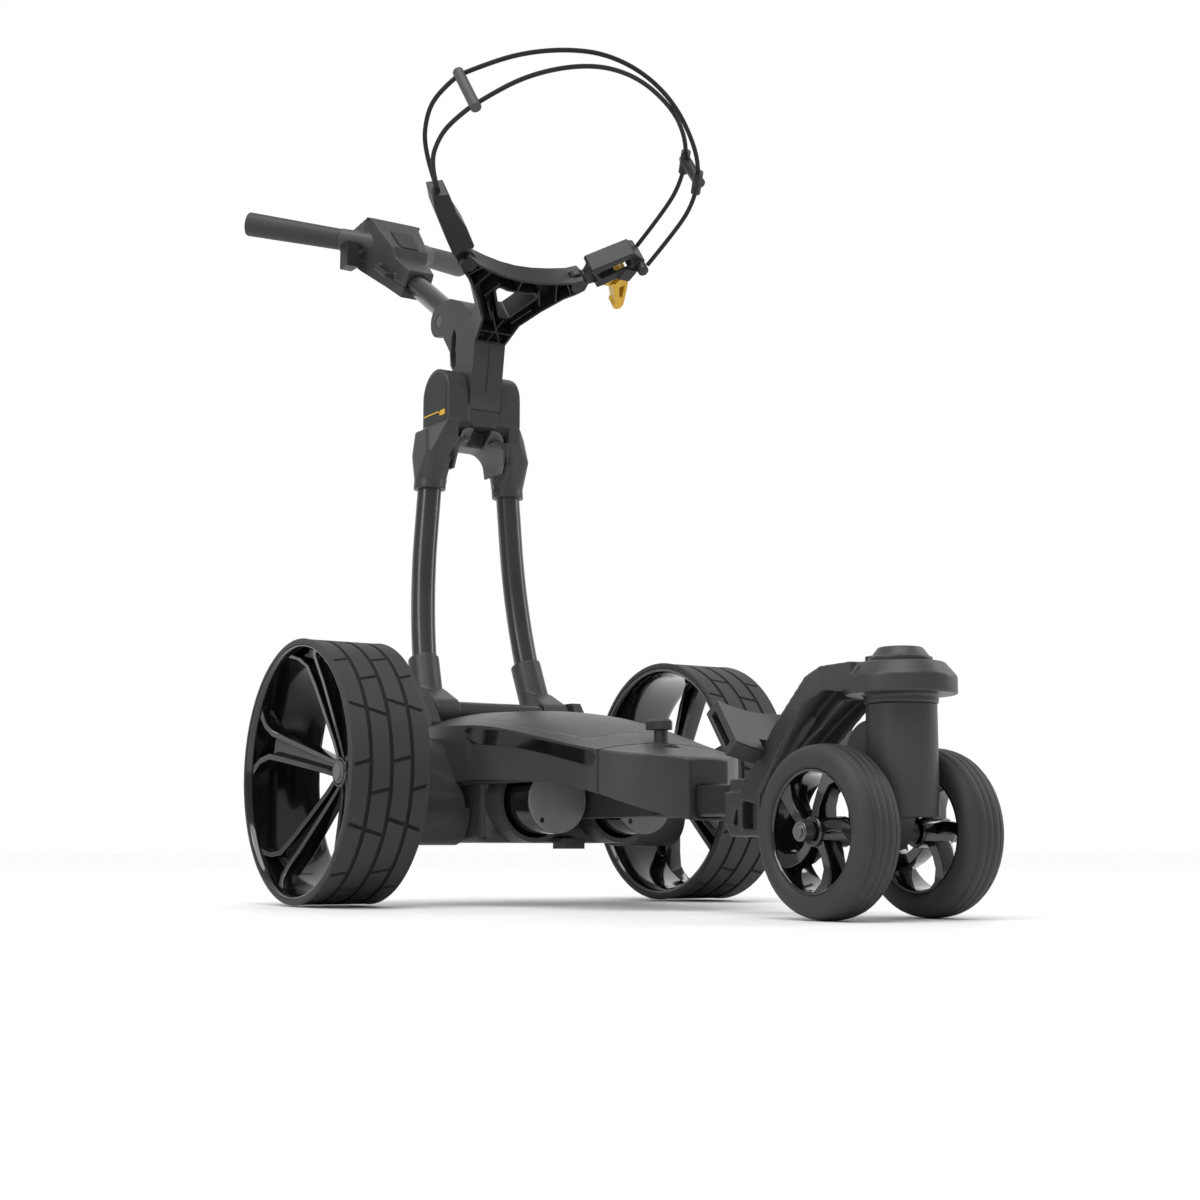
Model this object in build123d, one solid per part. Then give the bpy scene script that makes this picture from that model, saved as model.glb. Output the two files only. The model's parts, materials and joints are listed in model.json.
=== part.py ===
"""Electric golf trolley: folding three-section frame, twin-wheel caster in front, two driven rear wheels.

Millimetres. X runs across the trolley, forward is -Y and +Z is up. The origin is the point on the
floor midway below the rear axle. "Left" and "right" are those of somebody walking behind the handle,
so the left side is +X.
"""

from build123d import *
import math
import os

SIDES = {"left": 1, "right": -1}

# ---------------------------------------------------------------- rear wheels
REAR_RADIUS = 150
REAR_INNER_X = 199
REAR_OUTER_X = 295
REAR_RIM_RADIUS = 142
REAR_RIM_THICKNESS = 6
REAR_HUB_RADIUS = 24
REAR_HUB_X = 205, 240
REAR_SPOKES = 5
REAR_SPOKE_SPREAD = 9
SHAFT_RADIUS = 8
RUNNING_GAP = 0.1
BUTTON_RADIUS = 13
TREAD_GROOVE_X = 222, 247, 272
TREAD_GROOVE_WIDTH = 3
TREAD_GROOVE_DEPTH = 3

# ---------------------------------------------------------------- front wheels and caster
FRONT_RADIUS = 78
FRONT_AXLE_Y = -640
FRONT_INNER_X = 39
FRONT_OUTER_X = 85
FRONT_RIM_RADIUS = 56
FRONT_HUB_RADIUS = 14
FRONT_SPOKES = 5
AXLE_RADIUS = 5
CASTER_Y = -672
CASTER_HOUSING_RADIUS = 32
CASTER_HOUSING_Z = 91, 191
CASTER_WEB_HALF = 22
KINGPIN_RADIUS = 8
COLLAR_RADIUS = 33.5
PLATE_RADIUS = 50.6
PLATE_Z = 204, 216, 229
KNOB_RADII = 29, 20
KNOB_Z = 229.5, 234, 243

# ---------------------------------------------------------------- chassis
# y station, half width, crown height, shoulder height, lower edge height
HULL_STATIONS = [
    (38, 114, 229, 206, 140),
    (0, 119, 228, 206, 140),
    (-78, 120, 224, 203, 140),
    (-130, 115, 219, 198.5, 140),
    (-200, 104, 207, 186, 136),
    (-265, 94, 188, 173, 128.5),
    (-315, 82, 171, 164.5, 116),
    (-350, 60, 163, 160.5, 103),
    (-380, 24, 155, 153.5, 92),
]
HULL_WALL = 4
NOSE_Y = -302
LID_THICKNESS = 2.2
LID_GAP = 0.5
LID_LEDGE = 5
LID_OUTLINE = [(-99, -84), (99, -84), (96, -140), (86, -205), (70, -262), (-70, -262), (-86, -205), (-96, -140)]
TRIM_PROUD = 0.6
TRIM_DEPTH = 1.8
TRIM_OUTLINE = [(-84, 186), (-78, 197), (-84, 200.5), (-145, 193.5), (-210, 181), (-262, 171), (-298, 164),
                (-301, 160), (-293, 149), (-225, 164), (-165, 175), (-95, 181)]
TUB_HALF = 108
TUB_Y = -100, 36
TUB_Z = 71, 138
MOTOR_X = 58
MOTOR_Z = 117
MOTOR_RADIUS = 37
MOTOR_FRONT_Y = -176
SCOOP_RADIUS = 41
SCOOP_WALL = 3.5
TRAY_Z = 136, 140
BATTERY_SIZE = 144, 145, 24
BOOM_HALF = 16
BOOM_Z = 96, 128
BOOM_Y = -462, -308
BOOM_WALL = 2.5
POST_Y = -294

# ---------------------------------------------------------------- front arm, side view (y, z)
ARM_SIDE = [(-441, 90), (-441, 119), (-468, 119), (-487, 143), (-531, 182), (-587, 222), (-613, 229),
            (CASTER_Y, 229), (CASTER_Y, 204), (-613, 206), (-586, 198), (-536, 154), (-501, 116),
            (-501, 75), (-450, 75)]
ARM_CHANNEL = [(-497, 141), (-536, 175.5), (-590, 214), (-613, 220), (-622, 220), (-622, 180), (-560, 140), (-500, 100)]
ARM_WEB = [(-500, 138), (-545, 168), (-561, 177), (-581, 194), (-592, 200), (-628, 200), (-628, 222), (-590, 216)]
ARM_PLAN = [(27, -441), (27, -470), (30, -510), (38, -560), (46, -612), (50, -660), (0, -672)]
ARM_WALL = 4

# ---------------------------------------------------------------- folding frame
MAIN_PIVOT = 60, 228
CROSS_TUBE_RADIUS = 14.5
CROSS_TUBE_HALF = 97.5
TRUNNION_RADIUS = 8
TRUNNION_HALF = 112
LEG_RADIUS = 15.2
LEG_BEND_RADIUS = 640
LEG_POINTS = [(77.6, 93.6, 237), (70.6, 135.7, 349.7), (52.4, 138, 586)]
SOCKET_RADIUS = 19.3
SLEEVE_RADIUS = 19.5
SLEEVE_Z = 517, 600
YOKE_HALF = 53
YOKE_Y = 98, 168
COLUMN_PIVOT = 133, 641
EAR_RADIUS = 35
COLUMN_HALF = 22.5
COLUMN_FOOT_RADIUS = 38
SLOT_GAP = 0.8
ARCH_HALF = 37.5
LINER_WALL = 2.5
FOLD_PIN_RADIUS = 6

# ---------------------------------------------------------------- column, side view (y, z)
COLUMN_SIDE = [(96, 641), (85.8, 707.8), (97, 745), (120, 768), (153, 781), (176, 782), (185.5, 759),
               (170, 730), (153, 709), (151, 690), (140, 676), (133, 641)]
TILT_PIVOT = 185.5, 759
TILT_EYE_RADIUS = 22
CHEEK_INNER = 15.6
STEM_RADIUS = 15
STEM_ANGLE = 34
STEM_OFFSET = 7.2
STEM_START = 34
STEM_END = 245
TILT_RANGE = 10

# ---------------------------------------------------------------- bag cradle plane
CRADLE_TILT = 53.5
CRADLE_C = 620, 651
BRACKET_BASE_N = 352
BRACKET_OUTLINE = [(-22.3, 0), (22.3, 0), (27.7, 34), (47, 62), (69, 87.5), (81, 96.6), (90, 106), (90, 116),
                   (81, 121), (68, 114), (46, 108.5), (23, 104.5), (0, 103), (-23, 104.5), (-46, 108.5),
                   (-68, 114), (-81, 121), (-90, 116), (-90, 106), (-81, 96.6), (-69, 87.5), (-47, 62), (-27.7, 34)]
BRACKET_WINDOW = [(-33, 88), (-14, 83), (14, 83), (33, 88), (6, 45), (-6, 45)]
BRACKET_RIBS = [((-40, 18), (40, 18)), ((-6, 0), (2, 40)), ((14, 0), (-20, 50)), ((-14, 36), (-32, 62)),
                ((14, 36), (32, 62)), ((-40, 70), (-28, 92)), ((40, 70), (28, 92)), ((-60, 78), (-48, 106)),
                ((60, 78), (48, 106)), ((-76, 94), (-62, 110)), ((76, 94), (62, 110)), ((0, 80), (0, 104))]
RIB_WALL = 3
RIB_THICKNESS = 1.8
POCKET_DEPTH = 22
ARM_PIVOT = 81, 111
ARM_EYE_RADIUS = 10
ARM_PIN_RADIUS = 4
PLAIN_ARM = [(-85, 121), (-85, 138), (-105, 160), (-127, 178), (-147, 200), (-166, 192), (-154, 173), (-130, 146),
             (-108, 121), (-90, 104)]
LEVER_ARM = [(85, 121), (85, 138), (129, 175), (150, 168), (144, 151.5), (123, 131), (111, 119), (90, 104)]
LEVER_ARM_WINDOW = [(94, 133), (104, 128), (134, 156), (129, 166)]
ANCHOR_BAR = 146, 160
ANCHOR_BAR_RADIUS = 7
LEVER_PIVOT = 134, 138
LEVER_OUTLINE = [(134, 146), (112, 126), (112, 117), (128, 118), (146, 92), (158, 92), (150, 118), (142, 140)]
LEVER_C = 624, 647

# ---------------------------------------------------------------- bungee: x, n, offset along the bag axis
CORD_RADIUS = 2.75
CORD_C = 635
PLAIN_ROUTE = [(-157, 548, 3.4), (-187, 586, 15), (-197, 626, 25), (-192, 655, 29), (-178, 679, 30)]
LEVER_ROUTE = [(-175, 682, 30), (-150, 708, 25), (-116, 733, 21), (-72, 752, 17), (-26, 760, 12), (28, 752, 5),
               (85, 726, 0), (129, 689, -17), (152, 657, -22), (164, 621, -22), (165, 582, -21), (152.5, 517.5, -20)]
CROSSING_LIFT = {4: 1.5, 5: 3, 6: 3.5, 7: 2}
CLIP_HALF_LENGTH = 36
SLIDER_HALF_LENGTH = 27

# ---------------------------------------------------------------- handle
# distance along the stem, half width low and high, offsets from the stem axis low and high
HANDLE_STATIONS = [(0, 20, 20, -20, 20), (40, 27, 25, -20, 24), (52, 30, 28, -20, 36), (95, 46, 34, -18, 45),
                   (128, 56, 36, -14, 53)]
HANDLE_TAIL = [(128, 53), (172, 16), (160, -10), (128, -14)]
HANDLE_TAIL_HALF = 42
HANDLE_ORIGIN = 291, 839
HANDLE_WALL = 3
GRIP_ROOT = 67, 402, 926
GRIP_END = 172, 490, 955
GRIP_RADIUS = 15
COLLAR_LENGTH = 50
PORT_ORIGIN = 326, 911
PORT_ANGLE = 46.9
USER_FACE_FALL = 6.1
CLIP_POSITION = -66, 374, 890

parts = {}


def block(x, y, z):
    """Box between pairs of opposite faces."""
    size = Box(x[1] - x[0], y[1] - y[0], z[1] - z[0])
    return Pos((x[0] + x[1]) / 2, (y[0] + y[1]) / 2, (z[0] + z[1]) / 2) * size


def rod(start, end, radius):
    """Round bar between the centres of its two ends."""
    axis = Vector(*end) - Vector(*start)
    return extrude(Plane(origin=start, z_dir=axis) * Circle(radius), amount=axis.length)


def cross_rod(x, y, z, radius):
    """Round bar along X."""
    return rod((x[0], y, z), (x[1], y, z), radius)


def outline(*points):
    """Flat face inside a ring of points, which may be given in either sense."""
    area = sum(a[0] * b[1] - b[0] * a[1] for a, b in zip(points, points[1:] + points[:1]))
    return Polygon(*(points if area > 0 else points[::-1]))


def side_slab(points, x, corner=0):
    """Side view outline of (y, z) points, given its width across X."""
    face = outline(*points)
    if corner:
        face = fillet(face.vertices(), corner)
    plane = Plane(origin=(x[0], 0, 0), x_dir=(0, 1, 0), z_dir=(1, 0, 0))
    return extrude(plane * face, amount=x[1] - x[0])


def plan_slab(points, z):
    """Plan outline of (x, y) points between two heights."""
    return extrude(Plane.XY.offset(z[0]) * outline(*points), amount=z[1] - z[0])


def revolved(points, y, z):
    """Ring turned about the X axis through (y, z) from (x, radius) points."""
    plane = Plane(origin=(0, y, z), x_dir=(1, 0, 0), z_dir=(0, -1, 0))
    return revolve(plane * outline(*points), Axis((0, y, z), (1, 0, 0)), 360)


def mirrored(solid, sign):
    """The solid itself on the left side, or its mirror image on the right."""
    return solid if sign > 0 else mirror(solid, Plane.YZ)


def hull(inset=0, drop=0):
    """Solid inside the chassis skin, moved inward by inset and with its floor lowered by drop."""
    sections = []
    for y, half, crown, shoulder, floor in HULL_STATIONS:
        w = half - inset
        low = floor - drop
        high = shoulder - inset
        rim = [
            Line((-w, low), (w, low)),
            Line((w, low), (w, high)),
            ThreePointArc((w, high), (0, crown - inset), (-w, high)),
            Line((-w, high), (-w, low)),
        ]
        plane = Plane(origin=(0, y, 0), x_dir=(1, 0, 0), z_dir=(0, -1, 0))
        sections.append(plane * make_face(rim))
    return loft(sections)


def cradle_plane(c):
    """Plane square to the bag: its x is X, its y points forward and up, and it lies c along the bag."""
    rise = math.radians(CRADLE_TILT)
    axis = Vector(0, math.cos(rise), math.sin(rise))
    return Plane(origin=axis * c, x_dir=(1, 0, 0), z_dir=axis * -1)


def cradle_slab(points, c, corner=0, base=BRACKET_BASE_N):
    """Outline in the cradle plane, given its extent along the bag."""
    face = outline(*[(x, n + base) for x, n in points])
    if corner:
        face = fillet(face.vertices(), corner)
    return extrude(cradle_plane(c[1]) * face, amount=c[1] - c[0])


def cradle_point(x, n, c):
    """Position of a point given across, forward of and along the bag."""
    rise = math.radians(CRADLE_TILT)
    return (
        x,
        c * math.cos(rise) - n * math.sin(rise),
        c * math.sin(rise) + n * math.cos(rise),
    )


def cradle_rod(x, n, c, radius):
    """Round bar along the bag axis."""
    return rod(cradle_point(x, n, c[0]), cradle_point(x, n, c[1]), radius)


# ---------------------------------------------------------------- wheels
def rear_tyre():
    wide = REAR_OUTER_X - REAR_INNER_X
    ring = revolved(
        [
            (REAR_INNER_X, REAR_RIM_RADIUS),
            (REAR_OUTER_X, REAR_RIM_RADIUS),
            (REAR_OUTER_X, REAR_RADIUS - 5),
            (REAR_OUTER_X - 4, REAR_RADIUS - 1.5),
            (REAR_OUTER_X - 10, REAR_RADIUS),
            (REAR_INNER_X + 10, REAR_RADIUS),
            (REAR_INNER_X + 4, REAR_RADIUS - 1.5),
            (REAR_INNER_X, REAR_RADIUS - 5),
        ],
        0,
        REAR_RADIUS,
    )
    for x in TREAD_GROOVE_X:
        low = REAR_RADIUS - TREAD_GROOVE_DEPTH
        ring -= revolved(
            [(x, low), (x + TREAD_GROOVE_WIDTH, low), (x + TREAD_GROOVE_WIDTH, wide * 2), (x, wide * 2)],
            0,
            REAR_RADIUS,
        )
    return ring


def rear_rim():
    outer = REAR_RIM_RADIUS
    inner = outer - REAR_RIM_THICKNESS
    barrel = revolved(
        [(REAR_INNER_X + 1, inner), (REAR_OUTER_X - 1, inner), (REAR_OUTER_X - 1, outer), (REAR_INNER_X + 1, outer)],
        0,
        REAR_RADIUS,
    )
    rim = barrel + cross_rod(REAR_HUB_X, 0, REAR_RADIUS, REAR_HUB_RADIUS)
    rim += cross_rod((193, REAR_HUB_X[0]), 0, REAR_RADIUS, 16)
    spoke_face = [(226, 14), (239, 20), (290, inner + 1), (276, inner + 1)]
    plane = Plane(origin=(0, 0, REAR_RADIUS), x_dir=(1, 0, 0), z_dir=(0, -1, 0))
    spoke = extrude(plane * outline(*spoke_face), amount=4, both=True)
    for index in range(REAR_SPOKES):
        for lean in (-REAR_SPOKE_SPREAD, REAR_SPOKE_SPREAD):
            turn = index * 360 / REAR_SPOKES + lean
            rim += spoke.rotate(Axis((0, 0, REAR_RADIUS), (1, 0, 0)), turn)
    rim += cross_rod((150, 200), 0, REAR_RADIUS, SHAFT_RADIUS)
    rim -= cross_rod((227, 245), 0, REAR_RADIUS, BUTTON_RADIUS + RUNNING_GAP * 3)
    return rim


def hub_button():
    body = cross_rod((231, 241), 0, REAR_RADIUS, BUTTON_RADIUS)
    dome = cross_rod((241, 243), 0, REAR_RADIUS, BUTTON_RADIUS - 3)
    return body + dome


def front_tyre():
    x0, x1, r = FRONT_INNER_X, FRONT_OUTER_X, FRONT_RADIUS
    profile = [
        (x0 + 5, FRONT_RIM_RADIUS), (x1 - 5, FRONT_RIM_RADIUS), (x1, FRONT_RIM_RADIUS + 4), (x1, r - 11),
        (x1 - 3, r - 5.5), (x1 - 9, r - 1.6), (x1 - 17, r), (x0 + 17, r), (x0 + 9, r - 1.6), (x0 + 3, r - 5.5),
        (x0, r - 11), (x0, FRONT_RIM_RADIUS + 4),
    ]
    return revolved(profile, FRONT_AXLE_Y, r)


def front_rim():
    outer = FRONT_RIM_RADIUS
    inner = outer - 4
    rim = revolved([(43, inner), (81, inner), (81, outer), (43, outer)], FRONT_AXLE_Y, FRONT_RADIUS)
    rim += cross_rod((41, 81), FRONT_AXLE_Y, FRONT_RADIUS, FRONT_HUB_RADIUS)
    plane = Plane(origin=(0, FRONT_AXLE_Y, FRONT_RADIUS), x_dir=(1, 0, 0), z_dir=(0, -1, 0))
    face = outline((60, 10), (76, 10), (79, inner + 1), (66, inner + 1))
    spoke = extrude(plane * face, amount=6, both=True)
    for index in range(FRONT_SPOKES):
        rim += spoke.rotate(Axis((0, FRONT_AXLE_Y, FRONT_RADIUS), (1, 0, 0)), index * 360 / FRONT_SPOKES)
    return rim - cross_rod((30, 90), FRONT_AXLE_Y, FRONT_RADIUS, AXLE_RADIUS + RUNNING_GAP)


for side, sign in SIDES.items():
    parts["rear_tyre_" + side] = mirrored(rear_tyre(), sign)
    parts["rear_rim_" + side] = mirrored(rear_rim(), sign)
    parts["hub_button_" + side] = mirrored(hub_button(), sign)
    parts["front_tyre_" + side] = mirrored(front_tyre(), sign)
    parts["front_rim_" + side] = mirrored(front_rim(), sign)

# ---------------------------------------------------------------- chassis
skin = hull()
cavity = hull(HULL_WALL, 30) & block((-200, 200), (-376, 34), (60, 300))
shell = skin & block((-200, 200), (NOSE_Y, 60), (0, 300))
nose = skin & block((-200, 200), (-400, NOSE_Y), (0, 300))
inner_front = hull(HULL_WALL, -HULL_WALL) & block((-200, 200), (-376, NOSE_Y - HULL_WALL), (60, 300))

lid_prism = plan_slab(LID_OUTLINE, (150, 260))
lid_pocket = extrude(
    Plane.XY.offset(150) * offset(outline(*LID_OUTLINE), LID_GAP), amount=110
)
lid_hole = extrude(
    Plane.XY.offset(150) * offset(outline(*LID_OUTLINE), -LID_LEDGE), amount=110
)
below_lid = hull(LID_THICKNESS)
parts["battery_lid"] = (skin - below_lid) & lid_prism

trim_skin = hull(-TRIM_PROUD)
trim_floor = hull(TRIM_DEPTH)
shell -= cavity
shell -= (hull(-1) - hull(LID_THICKNESS + 0.3)) & lid_pocket
shell -= lid_hole & block((-200, 200), (-270, -70), (165, 260))
for side, sign in SIDES.items():
    across = (60, 130) if sign > 0 else (-130, -60)
    trim_zone = side_slab(TRIM_OUTLINE, across)
    trim = (trim_skin - trim_floor) & trim_zone
    shell -= trim
    nose -= trim
    parts["side_trim_" + side] = trim

tray = hull(HULL_WALL + 0.2, 30) & block((-200, 200), (NOSE_Y, 33.5), TRAY_Z)
tub = block((-TUB_HALF, TUB_HALF), TUB_Y, TUB_Z)
tub = fillet(tub.edges().filter_by(Axis.Z), 14)
tub = fillet(tub.edges().group_by(Axis.Z)[0], 9)
rings = Part() + [
    rod((sign * MOTOR_X, -130, MOTOR_Z), (sign * MOTOR_X, -90, MOTOR_Z), SCOOP_RADIUS + 5) for sign in (-1, 1)
]
rings = rings & block((-200, 200), (-200, 0), (0, TRAY_Z[1]))
roofs = Part() + [
    rod((sign * MOTOR_X, -296, MOTOR_Z), (sign * MOTOR_X, -54, MOTOR_Z), SCOOP_RADIUS + SCOOP_WALL) for sign in (-1, 1)
]
roofs = roofs & block((-200, 200), (-300, 0), (TRAY_Z[0], 200)) & hull(HULL_WALL + 0.2, 30)
scoops = Part() + [
    rod((sign * MOTOR_X, -310, MOTOR_Z), (sign * MOTOR_X, -57, MOTOR_Z), SCOOP_RADIUS) for sign in (-1, 1)
]
tub_inside = block((-TUB_HALF + 4, TUB_HALF - 4), (TUB_Y[0] + 4, TUB_Y[1] - 4), (TUB_Z[0] + 4, TRAY_Z[0] - 1))
tub = tub + rings + tray + roofs - tub_inside - scoops
tub += block((-16.5, 16.5), (NOSE_Y, -99), (98, TRAY_Z[0])) - scoops
tub += block((-14, 14), (-120, -96), (64, 76)) - scoops
tub -= parts["side_trim_left"]
tub -= parts["side_trim_right"]

boom_outer = block((-BOOM_HALF, BOOM_HALF), BOOM_Y, BOOM_Z)
boom_outer = fillet(boom_outer.edges().filter_by(Axis.Y), 3)
boom_inner = block((-BOOM_HALF + BOOM_WALL, BOOM_HALF - BOOM_WALL), (-500, -280),
                   (BOOM_Z[0] + BOOM_WALL, BOOM_Z[1] - BOOM_WALL))
nose -= inner_front
nose += (block((-20, 20), (-378, -310), (92, 132)) & skin)
nose -= boom_outer
nose -= block((-9, 9), (-318, -304), (168, 200))
parts["front_boom"] = boom_outer - boom_inner

neck = rod((0, POST_Y, 173), (0, POST_Y, 192), 7.5)
post_plan = [(-11, -281), (11, -281), (11, -300), (5, -306), (-5, -306), (-11, -300)]
post_head = plan_slab(post_plan, (190, 202))
post = neck + chamfer(post_head.edges().group_by(Axis.Z)[-1], 3)
parts["catch_post"] = post
parts["chassis_shell"] = shell - post
parts["nose_cover"] = nose - post
parts["chassis_tub"] = tub

battery_x, battery_y, battery_z = BATTERY_SIZE
battery_low = MOTOR_Z + SCOOP_RADIUS + SCOOP_WALL + 0.5
battery = block((-battery_x / 2, battery_x / 2), (-205, -205 + battery_y), (battery_low, battery_low + battery_z))
parts["battery_pack"] = fillet(battery.edges().filter_by(Axis.Z), 8)

end_caps = []
for side, sign in SIDES.items():
    x = sign * MOTOR_X
    can = rod((x, MOTOR_FRONT_Y, MOTOR_Z), (x, -60, MOTOR_Z), MOTOR_RADIUS)
    parts["motor_" + side] = can
    disc = rod((x, MOTOR_FRONT_Y - 2.5, MOTOR_Z), (x, MOTOR_FRONT_Y, MOTOR_Z), MOTOR_RADIUS - 0.5)
    disc -= rod((x - 20, MOTOR_FRONT_Y - 5, MOTOR_Z - 22), (x - 20, MOTOR_FRONT_Y, MOTOR_Z - 22), 3)
    end_caps.append(disc.solids()[0])
    case_plane = Plane(origin=(110, 0, 0), x_dir=(0, 1, 0), z_dir=(1, 0, 0))
    case_face = make_hull(
        (Pos(0, REAR_RADIUS) * Circle(42)).edges() + (Pos(-35, 106) * Circle(38)).edges()
    )
    case = extrude(case_plane * case_face, amount=80)
    case -= skin
    case -= block((0, TUB_HALF + 0.5), (-200, 60), (60, TUB_Z[1] + 2.5))
    case -= hull(HULL_WALL, 30)
    case -= cross_rod((145, 200), 0, REAR_RADIUS, SHAFT_RADIUS + RUNNING_GAP)
    parts["gearbox_" + side] = mirrored(case.solids().sort_by(SortBy.VOLUME)[-1], sign)

parts["motor_end_caps"] = Compound(children=end_caps)

bracket_side = [(20, 200), (20, 214), (44, 246), (76, 246), (80, 238), (80, 214), (60, 205), (44, 186), (38, 186), (38, 200)]
hinge = side_slab(bracket_side, (99, 112))
hinge -= skin
hinge -= cross_rod((90, 120), MAIN_PIVOT[0], MAIN_PIVOT[1], TRUNNION_RADIUS + RUNNING_GAP)
hinge = hinge.solids().sort_by(SortBy.VOLUME)[-1]
parts["hinge_brackets"] = Compound(children=[hinge, mirror(hinge, Plane.YZ)])

# ---------------------------------------------------------------- front arm and caster
arm_plan = ARM_PLAN + [(-x, y) for x, y in reversed(ARM_PLAN[:-1])]
inner_plan = [(x - ARM_WALL, y) for x, y in ARM_PLAN[:-1]] + [(0, CASTER_Y)]
inner_plan += [(-x, y) for x, y in reversed(inner_plan[:-1])]
arm = side_slab(ARM_SIDE, (-60, 60)) & plan_slab(arm_plan, (60, 260))
arm -= side_slab(ARM_CHANNEL, (-60, 60)) & plan_slab(inner_plan, (60, 260))
arm += side_slab(ARM_WEB, (-2, 2))
plate = Pos(0, CASTER_Y, (PLATE_Z[0] - 4 + PLATE_Z[1]) / 2) * Cylinder(PLATE_RADIUS, PLATE_Z[1] - PLATE_Z[0] + 4)
crown = Pos(0, CASTER_Y, (PLATE_Z[1] + PLATE_Z[2]) / 2) * Cone(PLATE_RADIUS, PLATE_RADIUS - 11, PLATE_Z[2] - PLATE_Z[1])
arm += plate + crown
arm += rod((0, CASTER_Y, CASTER_HOUSING_Z[1] + 0.4), (0, CASTER_Y, PLATE_Z[1]), COLLAR_RADIUS)
arm += block((-20, 20), (-466, -441), (92, 132))
arm += block((-20, 20), (-480, -441), (80, 119))
for sign in (-1, 1):
    across = (12, 40) if sign > 0 else (-40, -12)
    arm -= side_slab([(-454, 86), (-462, 86), (-462, 110)], across)
    arm -= side_slab([(-470, 82), (-494, 82), (-494, 106), (-470, 110)], across, 2)
arm -= block((-BOOM_HALF, BOOM_HALF), (-462, -430), BOOM_Z)
arm += rod((0, CASTER_Y, 141), (0, CASTER_Y, 210), KINGPIN_RADIUS)

band_outer = [(-77, 24), (-77, 2), (-40, -8), (0, -11), (40, -8), (77, 2), (77, 24), (55, 16), (28, 9.5), (0, 7),
              (-28, 9.5), (-55, 16)]
cradle_n = 498
cradle = cradle_slab(band_outer, (-183, -131), 0, cradle_n)
for sign in (-1, 1):
    slot = [(sign * 50, 3.5), (sign * 90, 9), (sign * 90, 17), (sign * 50, 10.5)]
    cradle -= cradle_slab(slot, (-176, -138), 0, cradle_n)
cradle -= arm
cradle -= cradle_slab([(-34, -40), (34, -40), (34, 60), (-34, 60)], (-200, -168), 0, cradle_n)
parts["lower_cradle"] = cradle.solids().sort_by(SortBy.VOLUME)[-1]
parts["front_arm"] = arm

housing = rod((0, CASTER_Y, CASTER_HOUSING_Z[0]), (0, CASTER_Y, CASTER_HOUSING_Z[1]), CASTER_HOUSING_RADIUS)
web_plane = Plane(origin=(-CASTER_WEB_HALF, 0, 0), x_dir=(0, 1, 0), z_dir=(1, 0, 0))
web_shapes = (Pos(FRONT_AXLE_Y, FRONT_RADIUS) * Circle(17)).edges() + (Pos(-652, 146) * Circle(32)).edges()
web = extrude(web_plane * make_hull(web_shapes), amount=CASTER_WEB_HALF * 2)
caster = housing + web
caster += cross_rod((-38, 38), FRONT_AXLE_Y, FRONT_RADIUS, 11)
caster -= rod((0, CASTER_Y, 140), (0, CASTER_Y, 200), KINGPIN_RADIUS + RUNNING_GAP)
caster -= cross_rod((-60, 60), FRONT_AXLE_Y, FRONT_RADIUS, AXLE_RADIUS)
parts["caster_housing"] = caster
axle = cross_rod((-95, 95), FRONT_AXLE_Y, FRONT_RADIUS, AXLE_RADIUS)
for sign in (-1, 1):
    axle += cross_rod((sign * 82.5, sign * 94), FRONT_AXLE_Y, FRONT_RADIUS, 9)
    axle += cross_rod((sign * 94, sign * 97), FRONT_AXLE_Y, FRONT_RADIUS, 6)
parts["front_axle"] = axle
knob_low = Pos(0, CASTER_Y, (KNOB_Z[0] + KNOB_Z[1]) / 2) * Cylinder(KNOB_RADII[0], KNOB_Z[1] - KNOB_Z[0])
knob_top = Pos(0, CASTER_Y, (KNOB_Z[1] + KNOB_Z[2]) / 2) * Cone(KNOB_RADII[0] - 2, KNOB_RADII[1], KNOB_Z[2] - KNOB_Z[1])
knob_tail = plan_slab([(-14, CASTER_Y), (14, CASTER_Y), (9, CASTER_Y + 38), (-9, CASTER_Y + 38)], (KNOB_Z[0], 238))
parts["swivel_lock_knob"] = knob_low + knob_top + knob_tail

# ---------------------------------------------------------------- folding frame
py, pz = MAIN_PIVOT
cross_tube = cross_rod((-CROSS_TUBE_HALF, CROSS_TUBE_HALF), py, pz, CROSS_TUBE_RADIUS)
cross_tube += cross_rod((-TRUNNION_HALF, TRUNNION_HALF), py, pz, TRUNNION_RADIUS)
parts["cross_tube"] = cross_tube

leg_path = FilletPolyline(*LEG_POINTS, radius=LEG_BEND_RADIUS)
leg_plane = Plane(origin=leg_path @ 0, z_dir=leg_path % 0)
leg = sweep(leg_plane * Circle(LEG_RADIUS), path=leg_path)
socket_low = leg_path @ 0
socket_direction = Vector(leg_path % 0)
socket_top = socket_low + socket_direction * 66
socket = rod(tuple(socket_low + socket_direction * -6), tuple(socket_top), SOCKET_RADIUS)
lug_plane = Plane(origin=(60, 0, 0), x_dir=(0, 1, 0), z_dir=(1, 0, 0))
lug_shapes = (Pos(py, pz) * Circle(18.5)).edges() + (Pos(90, 243) * Circle(17)).edges()
socket += extrude(lug_plane * make_hull(lug_shapes), amount=34)
socket -= cross_tube
socket -= leg

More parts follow.
